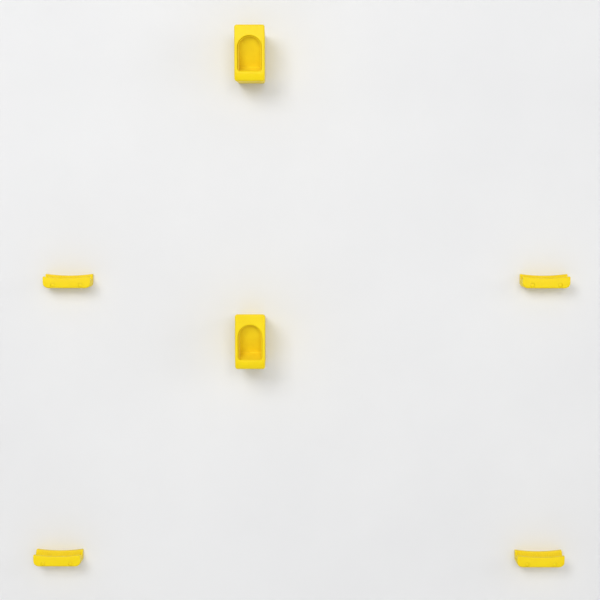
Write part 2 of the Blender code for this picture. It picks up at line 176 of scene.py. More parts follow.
CORNER_STEPS = 14                 # segments in each rounded corner of the holder
SIDE_POINTS = 20                  # points along each straight side of its outlines
FACE_SHARES = (0.15, 0.3, 0.45, 0.6, 0.75, 0.9)    # rings from the face's edge to the mouth
REST_STEPS = 40                   # sections along the rest
PAD_ARC_POINTS = 28
FOOT_POINTS = 7                   # points on each arc of the rest's section
LIP_POINTS = 6
GROOVE_EDGE_POINTS = 4
GROOVE_POINTS = 22
ROUND_SIDES = 32
DOME_STEPS = 6                    # round the holder's front edge and a screw's head
EDGE_STEPS = 5                    # round most smaller edges
LINER_LIP_STEPS = 4
MERGE_DISTANCE = 1e-6
SHARP_ANGLE = 34.0                # edges sharper than this stay crisp, in degrees
RIBBED_SHARP_ANGLE = 30.0         # the same for tread pads and plugs
CAP_SHARP_ANGLE = 40.0
LINER_SHARP_ANGLE = 50.0
WASHER_SHARP_ANGLE = 60.0
NOISE_LOW, NOISE_HIGH = 0.3, 0.7  # a noise's usual range

# The room: the wall is a hair behind the rack's back, so that the two faces don't fight.
WALL_Y = 0.0005
HOLE_MARGIN = 0.0015              # how far the wall's openings stay inside the pieces' outlines
REST_HOLE_COLUMNS = 20            # narrower towards the ends, where the outline curves
WALL_REACH = 6.0
FLOOR_REACH = 30.0
FLOOR_Z = -0.93
WORLD_STRENGTH = 0.38
LAMPS = {                         # place, width and power of each lamp
    "key": ((-1.35, -3.8, 1.95), 1.8, 67.0),
    "fill": ((0.9, -7.4, 1.9), 3.0, 150.0),
    "side": ((4.6, -2.0, 0.9), 2.2, 30.0),
    "back": ((0.8, 3.2, 1.8), 2.4, 28.0),
}
CAMERA_PLACE = (0.126, -3.0, 0.25)
CAMERA_MARGIN = 1.09
SENSOR_WIDTH = 36.0               # in millimetres


# ---- meshes ----

def new_mesh(name, built, sharp=SHARP_ANGLE):
    """The finished mesh of a bmesh, shaded smooth except at its sharp edges."""
    bmesh.ops.remove_doubles(built, verts=built.verts, dist=MERGE_DISTANCE)
    bmesh.ops.recalc_face_normals(built, faces=built.faces)
    mesh = bpy.data.meshes.new(name)
    built.to_mesh(mesh)
    built.free()
    mesh.shade_smooth()
    mesh.set_sharp_from_angle(angle=math.radians(sharp))
    return mesh


def mesh_from_rings(name, rings, closed_loop=False, sharp=SHARP_ANGLE):
    """A closed mesh through rings of equally many points: capped at its ends, or joined round."""
    built = bmesh.new()
    rows = [[built.verts.new(point) for point in ring] for ring in rings]
    count = len(rows[0])
    following_rows = rows[1:] + (rows[:1] if closed_loop else [])
    for row, following in zip(rows, following_rows):
        for i in range(count):
            j = (i + 1) % count
            built.faces.new((row[i], row[j], following[j], following[i]))
    if not closed_loop:
        built.faces.new(rows[0])
        built.faces.new(rows[-1])
    return new_mesh(name, built, sharp)


def circle(radius, y, sides=ROUND_SIDES):
    """Points round the Y axis at the depth y."""
    angles = [math.tau * i / sides for i in range(sides)]
    return [(radius * math.cos(a), y, radius * math.sin(a)) for a in angles]


def turned_mesh(name, profile):
    """A round piece on the Y axis. The profile is a list of (radius, y) from end to end."""
    return mesh_from_rings(name, [circle(radius, y) for radius, y in profile])


def prism_mesh(name, outline, x_low, x_high):
    """An outline in (y, z), drawn out along X."""
    return mesh_from_rings(name, [[(x, y, z) for y, z in outline] for x in (x_low, x_high)])


def box_mesh(name, low, high):
    """A box between two corners."""
    outline = [(low[1], low[2]), (high[1], low[2]), (high[1], high[2]), (low[1], high[2])]
    return prism_mesh(name, outline, low[0], high[0])


def moved(mesh, x, z):
    """The same mesh, shifted along the wall."""
    for vertex in mesh.vertices:
        vertex.co += Vector((x, 0.0, z))
    return mesh


def carved(mesh, cutters):
    """The mesh with each cutter mesh taken away from it."""
    link = bpy.context.scene.collection.objects.link
    base = bpy.data.objects.new("carving", mesh)
    link(base)
    helpers = [base]
    for cutter in cutters:
        tool = bpy.data.objects.new("cutter", cutter)
        link(tool)
        helpers.append(tool)
        cut = base.modifiers.new("cut", 'BOOLEAN')
        cut.solver = 'EXACT'
        cut.object = tool
    graph = bpy.context.evaluated_depsgraph_get()
    result = bpy.data.meshes.new_from_object(base.evaluated_get(graph))
    result.name = mesh.name
    for helper in helpers:
        bpy.data.objects.remove(helper)
    result.shade_smooth()
    result.set_sharp_from_angle(angle=math.radians(SHARP_ANGLE))
    return result


# ---- the holder's outlines: lists of (x, z), each with the same number of points ----

def arc(centre_x, centre_z, radius, start, end, count):
    """Points on an arc, between two angles in degrees."""
    points = []
    for i in range(count):
        angle = math.radians(start + (end - start) * i / (count - 1))
        points.append((centre_x + radius * math.cos(angle), centre_z + radius * math.sin(angle)))
    return points


def bottom_corners(half_width, bottom, radius):
    """The left corner and then the right one, from the left side's foot to the right side's."""
    count = CORNER_STEPS + 1
    left = arc(-half_width + radius, bottom + radius, radius, 180, 270, count)
    right = arc(half_width - radius, bottom + radius, radius, 270, 360, count)
    return left + right


def with_sides(half_width, bottom, top):
    """A closed outline from its bottom and its top, with points along both straight sides."""
    low, high = bottom[-1][1], top[0][1]
    heights = [low + (high - low) * i / (SIDE_POINTS + 1) for i in range(1, SIDE_POINTS + 1)]
    right = [(half_width, z) for z in heights]
    left = [(-half_width, z) for z in reversed(heights)]
    return bottom + right + top + left


def rounded_outline(half_width, bottom, top, radius):
    """A rectangle with four rounded corners."""
    count = CORNER_STEPS + 1
    right = arc(half_width - radius, top - radius, radius, 0, 90, count)
    left = arc(-half_width + radius, top - radius, radius, 90, 180, count)
    return with_sides(half_width, bottom_corners(half_width, bottom, radius), right + left)


def arched_outline(half_width, bottom, top, radius):
    """An arch over a floor with rounded corners."""
    crown = arc(0.0, top - half_width, half_width, 0, 180, 2 * (CORNER_STEPS + 1))
    return with_sides(half_width, bottom_corners(half_width, bottom, radius), crown)


def holder_side_outline(y, inset=0.0):
    """The holder's outside at the depth y, drawn in by inset."""
    share = -y / HOLDER_DEPTH
    half_width, bottom, top = (
        HOLDER_BACK[key] + (HOLDER_FRONT[key] - HOLDER_BACK[key]) * share
        for key in ("half_width", "bottom", "top"))
    return rounded_outline(half_width - inset, bottom + inset, top - inset, HOLDER_CORNER - inset)


def front_face_y(z):
    """The front face is flat, and below the chin's top it curves back."""
    below = max(0.0, CHIN_TOP - z) / (CHIN_TOP - HOLDER_FRONT["bottom"])
    return -HOLDER_DEPTH + CHIN_SET_BACK * below ** 2


def pocket_outline(inset=0.0, drop=0.0):
    """The pocket's outline. Its bottom, between its corners' upper ends, is lower by drop."""
    outline = arched_outline(
        POCKET_HALF_WIDTH - inset, POCKET_BOTTOM + inset, POCKET_TOP - inset, POCKET_CORNER - inset)
    bottom = range(1, 2 * CORNER_STEPS + 1)
    return [(x, z - drop if i in bottom else z) for i, (x, z) in enumerate(outline)]


def floor_share(z):
    """1 on the mouth's bottom edge, falling to 0 at the top of its corners."""
    return min(1.0, max(0.0, (POCKET_BOTTOM + POCKET_CORNER - z) / POCKET_CORNER))


def slid_ring(inset, short=0.0):
    """The inner outline, slid in and up until it meets the back wall, or stops short of it."""
    ring = []
    for x, z in pocket_outline(inset, LIP_HEIGHT):
        run = BACK_PLANE - short - (LIP_BACK * INWARD[0] + z * INWARD[1])
        ring.append((x, LIP_BACK + run * INWARD[0], z + run * INWARD[1]))
    return ring


def raised_ring(inset, y):
    """The inner outline, slid in and up to the depth y."""
    rise = (y - LIP_BACK) * INWARD[1] / INWARD[0]
    return [(x, y, z + rise) for x, z in pocket_outline(inset, LIP_HEIGHT)]


# ---- the holder ----

def quarter_turn(steps):
    """Angles from 0 to a right angle, for rings round an edge."""
    return [math.pi / 2 * i / steps for i in range(steps + 1)]


def holder_block():
    """The holder with its pocket: rings from its back edge, round its front face, into the pocket."""
    rings = [[(x, 0.0, z) for x, z in holder_side_outline(0.0)]]
    for angle in quarter_turn(DOME_STEPS):
        inset, back = HOLDER_EDGE * (1 - math.cos(angle)), HOLDER_EDGE * (1 - math.sin(angle))
        outline = holder_side_outline(-HOLDER_DEPTH, inset)
        rings.append([(x, front_face_y(z) + back, z) for x, z in outline])
    face_edge = holder_side_outline(-HOLDER_DEPTH, HOLDER_EDGE)
    for share in FACE_SHARES:
        ring = []
        for (x0, z0), (x1, z1) in zip(face_edge, pocket_outline(-POCKET_EDGE)):
            x, z = x0 + (x1 - x0) * share, z0 + (z1 - z0) * share
            ring.append((x, front_face_y(z), z))
        rings.append(ring)
    rings += mouth_rings()
    rings.append(slid_ring(0.0))
    return mesh_from_rings("holder_shell", rings)


def mouth_rings():
    """The mouth's rounded front edge, and the lip's rounded top and back."""
    rings = []
    for angle in quarter_turn(EDGE_STEPS):
        ring = []
        for x, z in pocket_outline(0.0):
            share = floor_share(z)
            edge = POCKET_EDGE + (LIP_EDGE - POCKET_EDGE) * share
            out = edge * (1 - math.sin(angle))
            centre_z = min(max(z, POCKET_BOTTOM + POCKET_CORNER), POCKET_TOP - POCKET_HALF_WIDTH)
            outward = Vector((x, z - centre_z))
            if POCKET_BOTTOM + POCKET_CORNER > z:
                corner_x = math.copysign(POCKET_HALF_WIDTH - POCKET_CORNER, x)
                outward = Vector((x - corner_x, z - centre_z))
            outward.normalize()
            back = edge * (1 - math.cos(angle))
            ring.append((x + outward.x * out, -HOLDER_DEPTH + back, z + outward.y * out))
        rings.append(ring)
    inner = pocket_outline(0.0, LIP_HEIGHT)
    for angle in quarter_turn(EDGE_STEPS):
        ring = []
        for (x0, z0), (x1, z1) in zip(pocket_outline(0.0), inner):
            share = floor_share(z0)
            fall = min(LIP_EDGE, abs(z0 - z1)) * (1 - math.cos(angle))
            y = LIP_BACK - LIP_EDGE * (1 - math.sin(angle))
            ring.append((x0, y, z0 - fall * share))
        rings.append(ring)
    rings.append([(x, LIP_BACK, z) for x, z in inner])
    return rings


def offset_point(point, along, across):
    """A point in (y, z), moved along the pocket's direction and square to it, upwards."""
    y, z = point
    return (y + along * INWARD[0] - across * INWARD[1], z + along * INWARD[1] + across * INWARD[0])


def hollow_block():
    """The space behind and around the pocket: a prism whose section keeps one wall's distance."""
    ring = slid_ring(0.0)
    roof = max(ring, key=lambda point: point[2])
    floor = min(ring, key=lambda point: point[2])
    roof_corner = offset_point(roof[1:], HOLDER_WALL, HOLDER_WALL)
    floor_corner = offset_point(floor[1:], HOLDER_WALL, -HOLDER_WALL)
    floor_front = offset_point((LIP_BACK, POCKET_BOTTOM - LIP_HEIGHT), HOLLOW_FLOOR_START, -HOLDER_WALL)
    slope_top = (HOLDER_FRONT["top"] - HOLDER_BACK["top"]) / HOLDER_DEPTH
    slope_bottom = (HOLDER_FRONT["bottom"] - HOLDER_BACK["bottom"]) / HOLDER_DEPTH
    inner_top = HOLDER_BACK["top"] - HOLDER_WALL
    inner_bottom = HOLDER_BACK["bottom"] + HOLDER_WALL
    chin_back = floor_front[0] + HOLLOW_CHIN_RUN
    outline = [
        (OVERSHOOT, inner_bottom), (OVERSHOOT, inner_top),
        (HOLLOW_FRONT, inner_top - HOLLOW_FRONT * slope_top),
        (HOLLOW_FRONT, POCKET_TOP + HOLDER_WALL + HOLLOW_ROOF_MARGIN),
        roof_corner, floor_corner, floor_front,
        (chin_back, inner_bottom - chin_back * slope_bottom),
    ]
    return prism_mesh("hollow", outline, -HOLLOW_HALF_WIDTH, HOLLOW_HALF_WIDTH)


def fixing_cutter(well, front, seat, hole, recess):
    """A screw's well, its hole and the recess for its plug, as one turned cutter."""
    return turned_mesh("fixing", [
        (well, front), (well, seat), (hole, seat), (hole, -PLUG_RECESS_DEPTH),
        (recess, -PLUG_RECESS_DEPTH), (recess, OVERSHOOT)])


def holder_shell_mesh():
    """The hollowed holder, with its cross of ribs, its three bosses and their screw wells."""
    reach = 2 * HOLDER_DEPTH
    kept = [
        box_mesh("rib", (-RIB_THICKNESS / 2, -reach, -reach), (RIB_THICKNESS / 2, reach, reach)),
        box_mesh("rib", (-reach, -reach, -RIB_THICKNESS / 2), (reach, reach, RIB_THICKNESS / 2)),
    ]
    for x, z in HOLDER_SCREW_PLACES.values():
        boss = turned_mesh("boss", [(HOLDER_BOSS_RADIUS, -reach), (HOLDER_BOSS_RADIUS, reach)])
        kept.append(moved(boss, x, z))
    cutters = [carved(hollow_block(), kept)]
    for x, z in HOLDER_SCREW_PLACES.values():
        cutter = fixing_cutter(
            HOLDER_WELL_RADIUS, HOLDER_WELL_FRONT, HOLDER_SEAT, HOLDER_SCREW["shank"] + GAP,
            HOLDER_PLUG["radius"] + PLUG_RECESS_MARGIN)
        cutters.append(moved(cutter, x, z))
    return carved(holder_block(), cutters)


def holder_liner_mesh():
    """The soft tray: rounded front edge, filleted back, and grip ribs across its floor."""
    outer, inner = GAP, GAP + LINER_THICKNESS
    rings = [slid_ring(outer, GAP)]
    front = LIP_BACK + GAP
    for angle in quarter_turn(LINER_LIP_STEPS):
        inset, back = LINER_LIP * (1 - math.cos(angle)), LINER_LIP * (1 - math.sin(angle))
        rings.append(raised_ring(outer + inset, front + back))
    for angle in quarter_turn(LINER_LIP_STEPS):
        inset, back = LINER_LIP * (1 - math.sin(angle)), LINER_LIP * (1 - math.cos(angle))
        rings.append(raised_ring(inner - inset, front + back))
    rings += liner_wall_rings(inner)
    for angle in quarter_turn(EDGE_STEPS)[1:]:
        inset = inner + LINER_FILLET * (1 - math.cos(angle))
        short = GAP + LINER_THICKNESS + LINER_FILLET * (1 - math.sin(angle))
        rings.append(slid_ring(min(inset, POCKET_CORNER - SMALLEST_RADIUS), short))
    return mesh_from_rings("holder_liner", rings, sharp=LINER_SHARP_ANGLE)


def liner_wall_rings(inset):
    """Rings along the tray's walls. The floor's points rise and fall as grip ribs."""
    outline = pocket_outline(inset, LIP_HEIGHT)
    floor_z = min(z for x, z in outline)
    full_run = BACK_PLANE - GAP - LINER_THICKNESS - LINER_FILLET
    floor_run = full_run - (LIP_BACK * INWARD[0] + floor_z * INWARD[1])
    rings = []
    for k in range(LINER_ROWS + 1):
        ring = []
        for x, z in outline:
            run = full_run - (LIP_BACK * INWARD[0] + z * INWARD[1])
            along = GRIP_START + (run - GRIP_START) * k / LINER_ROWS
            floor_along = GRIP_START + (floor_run - GRIP_START) * k / LINER_ROWS
            lift = 0.0
            if z < floor_z + FLOOR_BAND and 0 < k < LINER_ROWS:
                wave = math.sin(math.tau * floor_along / GRIP_PITCH)
                lift = GRIP_HEIGHT * max(0.0, wave) ** GRIP_FLATNESS
            ring.append((x, LIP_BACK + along * INWARD[0], z + along * INWARD[1] + lift))
        rings.append(ring)
    return rings


# ---- the wheel rest ----

def tyre_rise(x):
    """How far the tyre has curved up at x from its lowest point."""
    return TYRE_RADIUS - math.sqrt(TYRE_RADIUS ** 2 - x ** 2)


def rest_section(x, inset=0.0):
    """The rest's section in (y, z) at x, from the foot of its back, round its front and groove."""
    beyond = max(0.0, abs(x) - (REST_HALF_WIDTH - REST_END_RUN)) / REST_END_RUN
    bottom = REST_BOTTOM + REST_END_RISE * (1 - math.sqrt(1 - min(1.0, beyond) ** 2)) + inset
    rise = tyre_rise(x)
    front_top, back_top = FRONT_LIP_TOP + rise - inset, BACK_LIP_TOP + rise - inset
    groove_z = GROOVE_BOTTOM + GROOVE_RADIUS + rise
    radius = GROOVE_RADIUS + inset
    edge = REST_GROOVE_EDGE
    front_angle = math.degrees(math.asin((groove_z - front_top + edge) / radius))
    back_angle = math.degrees(math.asin((groove_z - back_top + edge) / radius))
    front_y = GROOVE_Y - radius * math.cos(math.radians(front_angle))
    back_y = GROOVE_Y + radius * math.cos(math.radians(back_angle))
    face = -REST_DEPTH + inset
    points = [(0.0, bottom)]
    lip_edge, end = REST_LIP_EDGE, GROOVE_EDGE_END
    points += arc(face + REST_EDGE, bottom + REST_EDGE, REST_EDGE, 270, 180, FOOT_POINTS)
    points += arc(face + lip_edge, front_top - lip_edge, lip_edge, 180, 90, LIP_POINTS)
    points += arc(front_y - edge, front_top - edge, edge, 90, end, GROOVE_EDGE_POINTS)
    points += arc(GROOVE_Y, groove_z, radius, 180 + front_angle, 360 - back_angle, GROOVE_POINTS)
    points += arc(back_y + edge, back_top - edge, edge, 180 - end, 90, GROOVE_EDGE_POINTS)
    points.append((0.0, back_top))
    return points


def rest_body_mesh():
    """The rest, with rounded ends, its two bores and the two hollows behind."""
    inner = REST_HALF_WIDTH - REST_END_EDGE
    rings = []
    for k in range(REST_STEPS + 1):
        x = inner * math.sin(math.pi / 2 * (2 * k / REST_STEPS - 1))
        rings.append([(x, y, z) for y, z in rest_section(x)])
    for angle in quarter_turn(EDGE_STEPS)[1:]:
        x = inner + REST_END_EDGE * math.sin(angle)
        section = rest_section(x, REST_END_EDGE * (1 - math.cos(angle)))
        rings.append([(x, y, z) for y, z in section])
        rings.insert(0, [(-x, y, z) for y, z in section])
    body = mesh_from_rings("rest_body", rings)
    cutters = []
    for side in (-1, 1):
        low, high = sorted(side * x for x in CAVITY_X)
        cutters.append(box_mesh(
            "cavity", (low, CAVITY_FRONT, CAVITY_Z[0]), (high, OVERSHOOT, CAVITY_Z[1])))
    for x, z in REST_SCREW_PLACES.values():
        cutter = fixing_cutter(
            REST_BORE_RADIUS, -REST_DEPTH - OVERSHOOT, REST_SEAT, REST_SCREW["shank"] + GAP,
            REST_PLUG["radius"] + PLUG_RECESS_MARGIN)
        cutters.append(moved(cutter, x, z))
    return carved(body, cutters)


def tread_stations():
    """Places along the tread pad, each with how deep its top is cut there."""
    stations = [(-PAD_HALF_WIDTH, 0.0)]
    count = round(2 * PAD_HALF_WIDTH / TREAD_PITCH)
    for k in range(count):
        middle_x = (k + 0.5) * TREAD_PITCH - PAD_HALF_WIDTH
        top, foot = TREAD_CUT_TOP / 2, TREAD_CUT_FOOT / 2
        stations += [
            (middle_x - top, 0.0), (middle_x - foot, TREAD_DEPTH),
            (middle_x + foot, TREAD_DEPTH), (middle_x + top, 0.0),
        ]
        if k < count - 1:
            stations.append((middle_x + TREAD_PITCH / 2, 0.0))
    stations.append((PAD_HALF_WIDTH, 0.0))
    return stations


def tread_pad_mesh():
    """The strip in the groove, with cuts across its top for the tyre to grip."""
    start, end = PAD_ARC
    top = GROOVE_RADIUS - GAP - PAD_THICKNESS
    rings = []
    for x, cut in tread_stations():
        centre = GROOVE_BOTTOM + GROOVE_RADIUS + tyre_rise(x)
        outer = arc(GROOVE_Y, centre, GROOVE_RADIUS - GAP, start, end, PAD_ARC_POINTS)
        inner = arc(GROOVE_Y, centre, top + cut, end, start, PAD_ARC_POINTS)
        rings.append([(x, y, z) for y, z in outer + inner])
    return mesh_from_rings("tread_pad", rings, sharp=RIBBED_SHARP_ANGLE)


# ---- fasteners, each on the Y axis ----

def thread_radius(size, angle, along):
    """The screw's radius at an angle and a distance under its head."""
    if along < PLAIN_SHANK:
        return size["shank"] - THREAD_DEPTH * SHANK_RELIEF
    turn = (angle / math.tau + along / THREAD_PITCH) % 1.0
    crest = max(0.0, 1.0 - abs(turn - 0.5) * THREAD_SHARPNESS)
    point_length = POINT_LENGTH * size["shank"]
    taper = min(1.0, (size["length"] - along) / point_length)
    core = (size["shank"] - THREAD_DEPTH) * max(POINT_SHARE, taper)
    return core + THREAD_DEPTH * crest * min(1.0, taper * 2)


def screw_mesh(name, size, seat):
    """A pan-head wood screw with a rolled thread and a cross recess."""
    head, top = size["head"], seat - size["head_height"]
    rings = []
    for angle in quarter_turn(DOME_STEPS):
        radius = head * (HEAD_FLAT + (1 - HEAD_FLAT) * math.sin(angle))
        fall = size["head_height"] * HEAD_DOME * (1 - math.cos(angle))
        rings.append(circle(radius, top + fall, SCREW_SIDES))
    rings.append(circle(head, seat, SCREW_SIDES))
    rings.append(circle(size["shank"] - THREAD_DEPTH * SHANK_RELIEF, seat, SCREW_SIDES))
    rows = int((size["length"] - PLAIN_SHANK) / THREAD_PITCH * ROWS_PER_TURN)
    for k in range(rows + 1):
        along = PLAIN_SHANK + (size["length"] - PLAIN_SHANK) * k / rows
        ring = []
        for i in range(SCREW_SIDES):
            angle = math.tau * i / SCREW_SIDES
            radius = thread_radius(size, angle, along)
            ring.append((radius * math.cos(angle), seat + along, radius * math.sin(angle)))
        rings.append(ring)
    screw = mesh_from_rings(name, rings)
    arm, half = head * CROSS_REACH, head * CROSS_WIDTH / 2
    front, foot = top - OVERSHOOT, top + size["head_height"] * CROSS_DEPTH
    cross = [
        box_mesh("slot", (-arm, front, -half), (arm, foot, half)),
        box_mesh("slot", (-half, front, -arm), (half, foot, arm)),
    ]
    return carved(screw, cross)


def plug_mesh(name, plug, screw):
    """A ribbed nylon wall plug, split along its far half."""
    length, radius = plug["length"], plug["radius"]
    bore = screw["shank"] + GAP
    nose_length, nose_fall = PLUG_NOSE
    rows = int(length / PLUG_BARB_PITCH) * PLUG_BARB_ROWS
    rings = [circle(bore, GAP, PLUG_SIDES)]
    for k in range(rows + 1):
        along = length * k / rows
        saw = (along / PLUG_BARB_PITCH) % 1.0
        barbed = PLUG_COLLAR < along < length - PLUG_TAIL
        shown = radius - (PLUG_BARB_DEPTH * (1 - saw) if barbed else 0.0)
        if along > length - nose_length:
            shown = min(shown, radius - nose_fall * (along - length + nose_length) / nose_length)
        rings.append(circle(shown, GAP + along, PLUG_SIDES))
    rings.append(circle(bore, GAP + length, PLUG_SIDES))
    body = mesh_from_rings(name, rings, closed_loop=True, sharp=RIBBED_SHARP_ANGLE)
    start, end = (GAP + length * share for share in PLUG_SLIT_RUN)
    reach, half = radius * 2, PLUG_SLIT / 2
    slits = [
        box_mesh("slit", (-reach, start, -half), (reach, end, half)),
        box_mesh("slit", (-half, start, -reach), (half, end, reach)),
    ]
    return carved(body, slits)


def washer_mesh():
    """A flat washer with a bevelled rim."""
    edge = WASHER_EDGE
    inner, outer = HOLDER_SCREW["shank"] + GAP, WASHER["radius"]
    end = HOLDER_SEAT - GAP
    start = end - WASHER["thickness"]
    rings = [circle(r, y) for r, y in (
        (inner, start), (outer - edge, start), (outer, start + edge), (outer, end - edge),
        (outer - edge, end), (inner, end))]
    return mesh_from_rings("washer", rings, closed_loop=True, sharp=WASHER_SHARP_ANGLE)


def cap_mesh():
    """A push-in cap with a low dome and a small bevel at its rim."""
    radius, front = REST_BORE_RADIUS - GAP, -REST_DEPTH
    rings = [circle(radius * CAP_MIDDLE, front)]
    for share in CAP_SHARES:
        rings.append(circle(radius * share, front + CAP_DOME * share ** 3))
    rings.append(circle(radius, front + CAP_DOME * (1 + CAP_BEVEL)))
    rings.append(circle(radius, front + CAP_DEPTH))
    return mesh_from_rings("cap", rings, sharp=CAP_SHARP_ANGLE)


# ---- materials ----

def add(tree, kind, settings=None, **sockets):
    """A node with its settings, and each named socket set to a value or linked."""
    made = tree.nodes.new(kind)
    for key, value in (settings or {}).items():
        setattr(made, key, value)
    for key, value in sockets.items():
        socket = made.inputs[key.replace("_", " ")]
        if isinstance(value, bpy.types.NodeSocket):
            tree.links.new(value, socket)
        else:
            socket.default_value = value
    return made


def noise(tree, position, scale, detail, roughness=0.5):
    """A cloudy value around a half."""
    made = add(tree, "ShaderNodeTexNoise", Vector=position, Scale=scale, Detail=detail,
               Roughness=roughness)
    return made.outputs["Fac"]


def between(tree, factor, low, high):
    """A value that runs from low to high as the factor runs over a noise's usual range."""
    made = add(tree, "ShaderNodeMapRange", Value=factor, From_Min=NOISE_LOW,
               From_Max=NOISE_HIGH, To_Min=low, To_Max=high)
    return made.outputs["Result"]


def colours(tree, factor, stops):
    """A colour ramp with a stop at each given place."""
    ramp = add(tree, "ShaderNodeValToRGB", Fac=factor)
    elements = ramp.color_ramp.elements
    while len(elements) < len(stops):
        elements.new(0.5)
    for element, (place, colour) in zip(elements, stops):
        element.position = place
        element.color = (*colour, 1.0)
    return ramp.outputs["Color"]


def multiplied(tree, first, second):
    """The product of two colours. The node has its factor at 0 and its colours at 6 and 7."""
    made = add(tree, "ShaderNodeMix", {"data_type": 'RGBA', "blend_type": 'MULTIPLY'})
    made.inputs[0].default_value = 1.0
    tree.links.new(first, made.inputs[6])
    tree.links.new(second, made.inputs[7])
    return made.outputs[2]


def bumped(tree, height, distance, strength, normal=None):
    """A normal bumped by a height, on top of another bump's normal if one is given."""
    made = add(tree, "ShaderNodeBump", Height=height, Distance=distance, Strength=strength)
    if normal is not None:
        tree.links.new(normal, made.inputs["Normal"])
    return made.outputs["Normal"]


def material(name):
    """A new material with its node tree, its shader and the position that its noises read."""
    made = bpy.data.materials.new(name)
    made.use_nodes = True
    tree = made.node_tree
    position = add(tree, "ShaderNodeNewGeometry").outputs["Position"]
    return made, tree, tree.nodes["Principled BSDF"], position


def yellow_plastic():
    """Glass-filled nylon from a spark-eroded mould: a fine even grain and faint flow marks."""
    made, tree, shader, position = material("yellow_plastic")
    flow = noise(tree, position, 28.0, 3.0)
    tint = colours(tree, flow, [(0.30, (0.900, 0.665, 0.002)), (0.70, (0.945, 0.715, 0.003))])
    dust = noise(tree, position, 2600.0, 1.0)
    speck = colours(tree, dust, [(0.60, (1.0, 1.0, 1.0)), (0.85, (0.90, 0.89, 0.86))])
    tree.links.new(multiplied(tree, tint, speck), shader.inputs["Base Color"])
    tree.links.new(
        between(tree, noise(tree, position, 160.0, 4.0), 0.36, 0.48), shader.inputs["Roughness"])
    grain = bumped(tree, noise(tree, position, 1000.0, 3.0), 0.0003, 0.7)
    wave = bumped(tree, noise(tree, position, 70.0, 1.0), 0.00012, 0.3, grain)
    tree.links.new(wave, shader.inputs["Normal"])
    shader.inputs["Specular IOR Level"].default_value = 0.22
    shader.inputs["Subsurface Weight"].default_value = 0.12
    shader.inputs["Subsurface Radius"].default_value = (1.0, 0.65, 0.12)
    shader.inputs["Subsurface Scale"].default_value = 0.0025
    return made


def yellow_rubber():
    """Soft moulded elastomer: matte, a little deeper in colour, with a dry pebbled skin."""
    made, tree, shader, position = material("yellow_rubber")
    patch = noise(tree, position, 45.0, 4.0)
    tint = colours(tree, patch, [(0.30, (0.870, 0.640, 0.006)), (0.70, (0.920, 0.700, 0.008))])
    shader.inputs["Specular IOR Level"].default_value = 0.25
    rub = noise(tree, position, 420.0, 5.0, 0.65)
    scuff = colours(tree, rub, [(0.62, (1.0, 1.0, 1.0)), (0.80, (0.86, 0.83, 0.78))])
    tree.links.new(multiplied(tree, tint, scuff), shader.inputs["Base Color"])
    tree.links.new(between(tree, rub, 0.58, 0.76), shader.inputs["Roughness"])
    pebble = add(tree, "ShaderNodeTexVoronoi", Vector=position, Scale=1300.0)
    skin = bumped(tree, pebble.outputs["Distance"], 0.00006, 0.45)
    tree.links.new(
        bumped(tree, noise(tree, position, 110.0, 1.0), 0.00015, 0.25, skin),
        shader.inputs["Normal"])
    shader.inputs["Sheen Weight"].default_value = 0.12
    shader.inputs["Sheen Roughness"].default_value = 0.5
    return made


def zinc_plated_steel():
    """Bright zinc: cloudy passivation from blue-white to straw, and faint drawing marks."""
    made, tree, shader, position = material("zinc_plated_steel")
    cloud = noise(tree, position, 240.0, 4.0)
    tint = colours(tree, cloud, [
        (0.30, (0.60, 0.63, 0.67)), (0.55, (0.66, 0.66, 0.66)), (0.75, (0.68, 0.64, 0.54))])
    tree.links.new(tint, shader.inputs["Base Color"])
    tree.links.new(
        between(tree, noise(tree, position, 900.0, 3.0), 0.22, 0.38), shader.inputs["Roughness"])
    stretched = add(tree, "ShaderNodeMapping", Vector=position, Scale=(3000.0, 250.0, 3000.0))
    marks = noise(tree, stretched.outputs["Vector"], 1.0, 2.0)
    tree.links.new(bumped(tree, marks, 0.00002, 0.35), shader.inputs["Normal"])
    shader.inputs["Metallic"].default_value = 1.0
    return made


def grey_nylon():
    """Unfilled nylon: slightly waxy, with flow streaks along the plug."""
    made, tree, shader, position = material("grey_nylon")
    streaks = add(tree, "ShaderNodeMapping", Vector=position, Scale=(900.0, 60.0, 900.0))
    flow = noise(tree, streaks.outputs["Vector"], 1.0, 3.0)
    tint = colours(tree, flow, [(0.30, (0.33, 0.34, 0.35)), (0.70, (0.43, 0.44, 0.45))])
    tree.links.new(tint, shader.inputs["Base Color"])
    tree.links.new(between(tree, flow, 0.45, 0.60), shader.inputs["Roughness"])
    tree.links.new(
        bumped(tree, noise(tree, position, 1500.0, 2.0), 0.00003, 0.4), shader.inputs["Normal"])
    shader.inputs["Subsurface Weight"].default_value = 0.1
    shader.inputs["Subsurface Radius"].default_value = (0.8, 0.8, 0.9)
    shader.inputs["Subsurface Scale"].default_value = 0.001
    return made


# ---- placing the pieces ----

def show(name, mesh, slot, look, x, z):
    """One copy of a mesh, standing for the CAD node of the same name."""
    piece = bpy.data.objects.new(f"{name}_fine", mesh)
    piece.location = (x, 0.0, z)
    bpy.context.scene.collection.objects.link(piece)
    if not mesh.materials:
        mesh.materials.append(look)
    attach(piece, "root")
    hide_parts(name)


def middle(node):
    """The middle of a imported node's box, seen from the front."""
    low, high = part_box(node)
    return (low.x + high.x) / 2, (low.z + high.z) / 2


def holder_place(level):
    """The middle of a holder's back, from its packed shell's box."""
    low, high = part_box(f"{level}_pedal_holder_shell")
    return (low.x + high.x) / 2, low.z - HOLDER_FRONT["bottom"]


def rest_place(level, wheel):
    """The middle of a rest's back at its groove's height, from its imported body's box."""
    low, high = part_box(f"{level}_{wheel}_rest_body")
    return (low.x + high.x) / 2, low.z - REST_BOTTOM


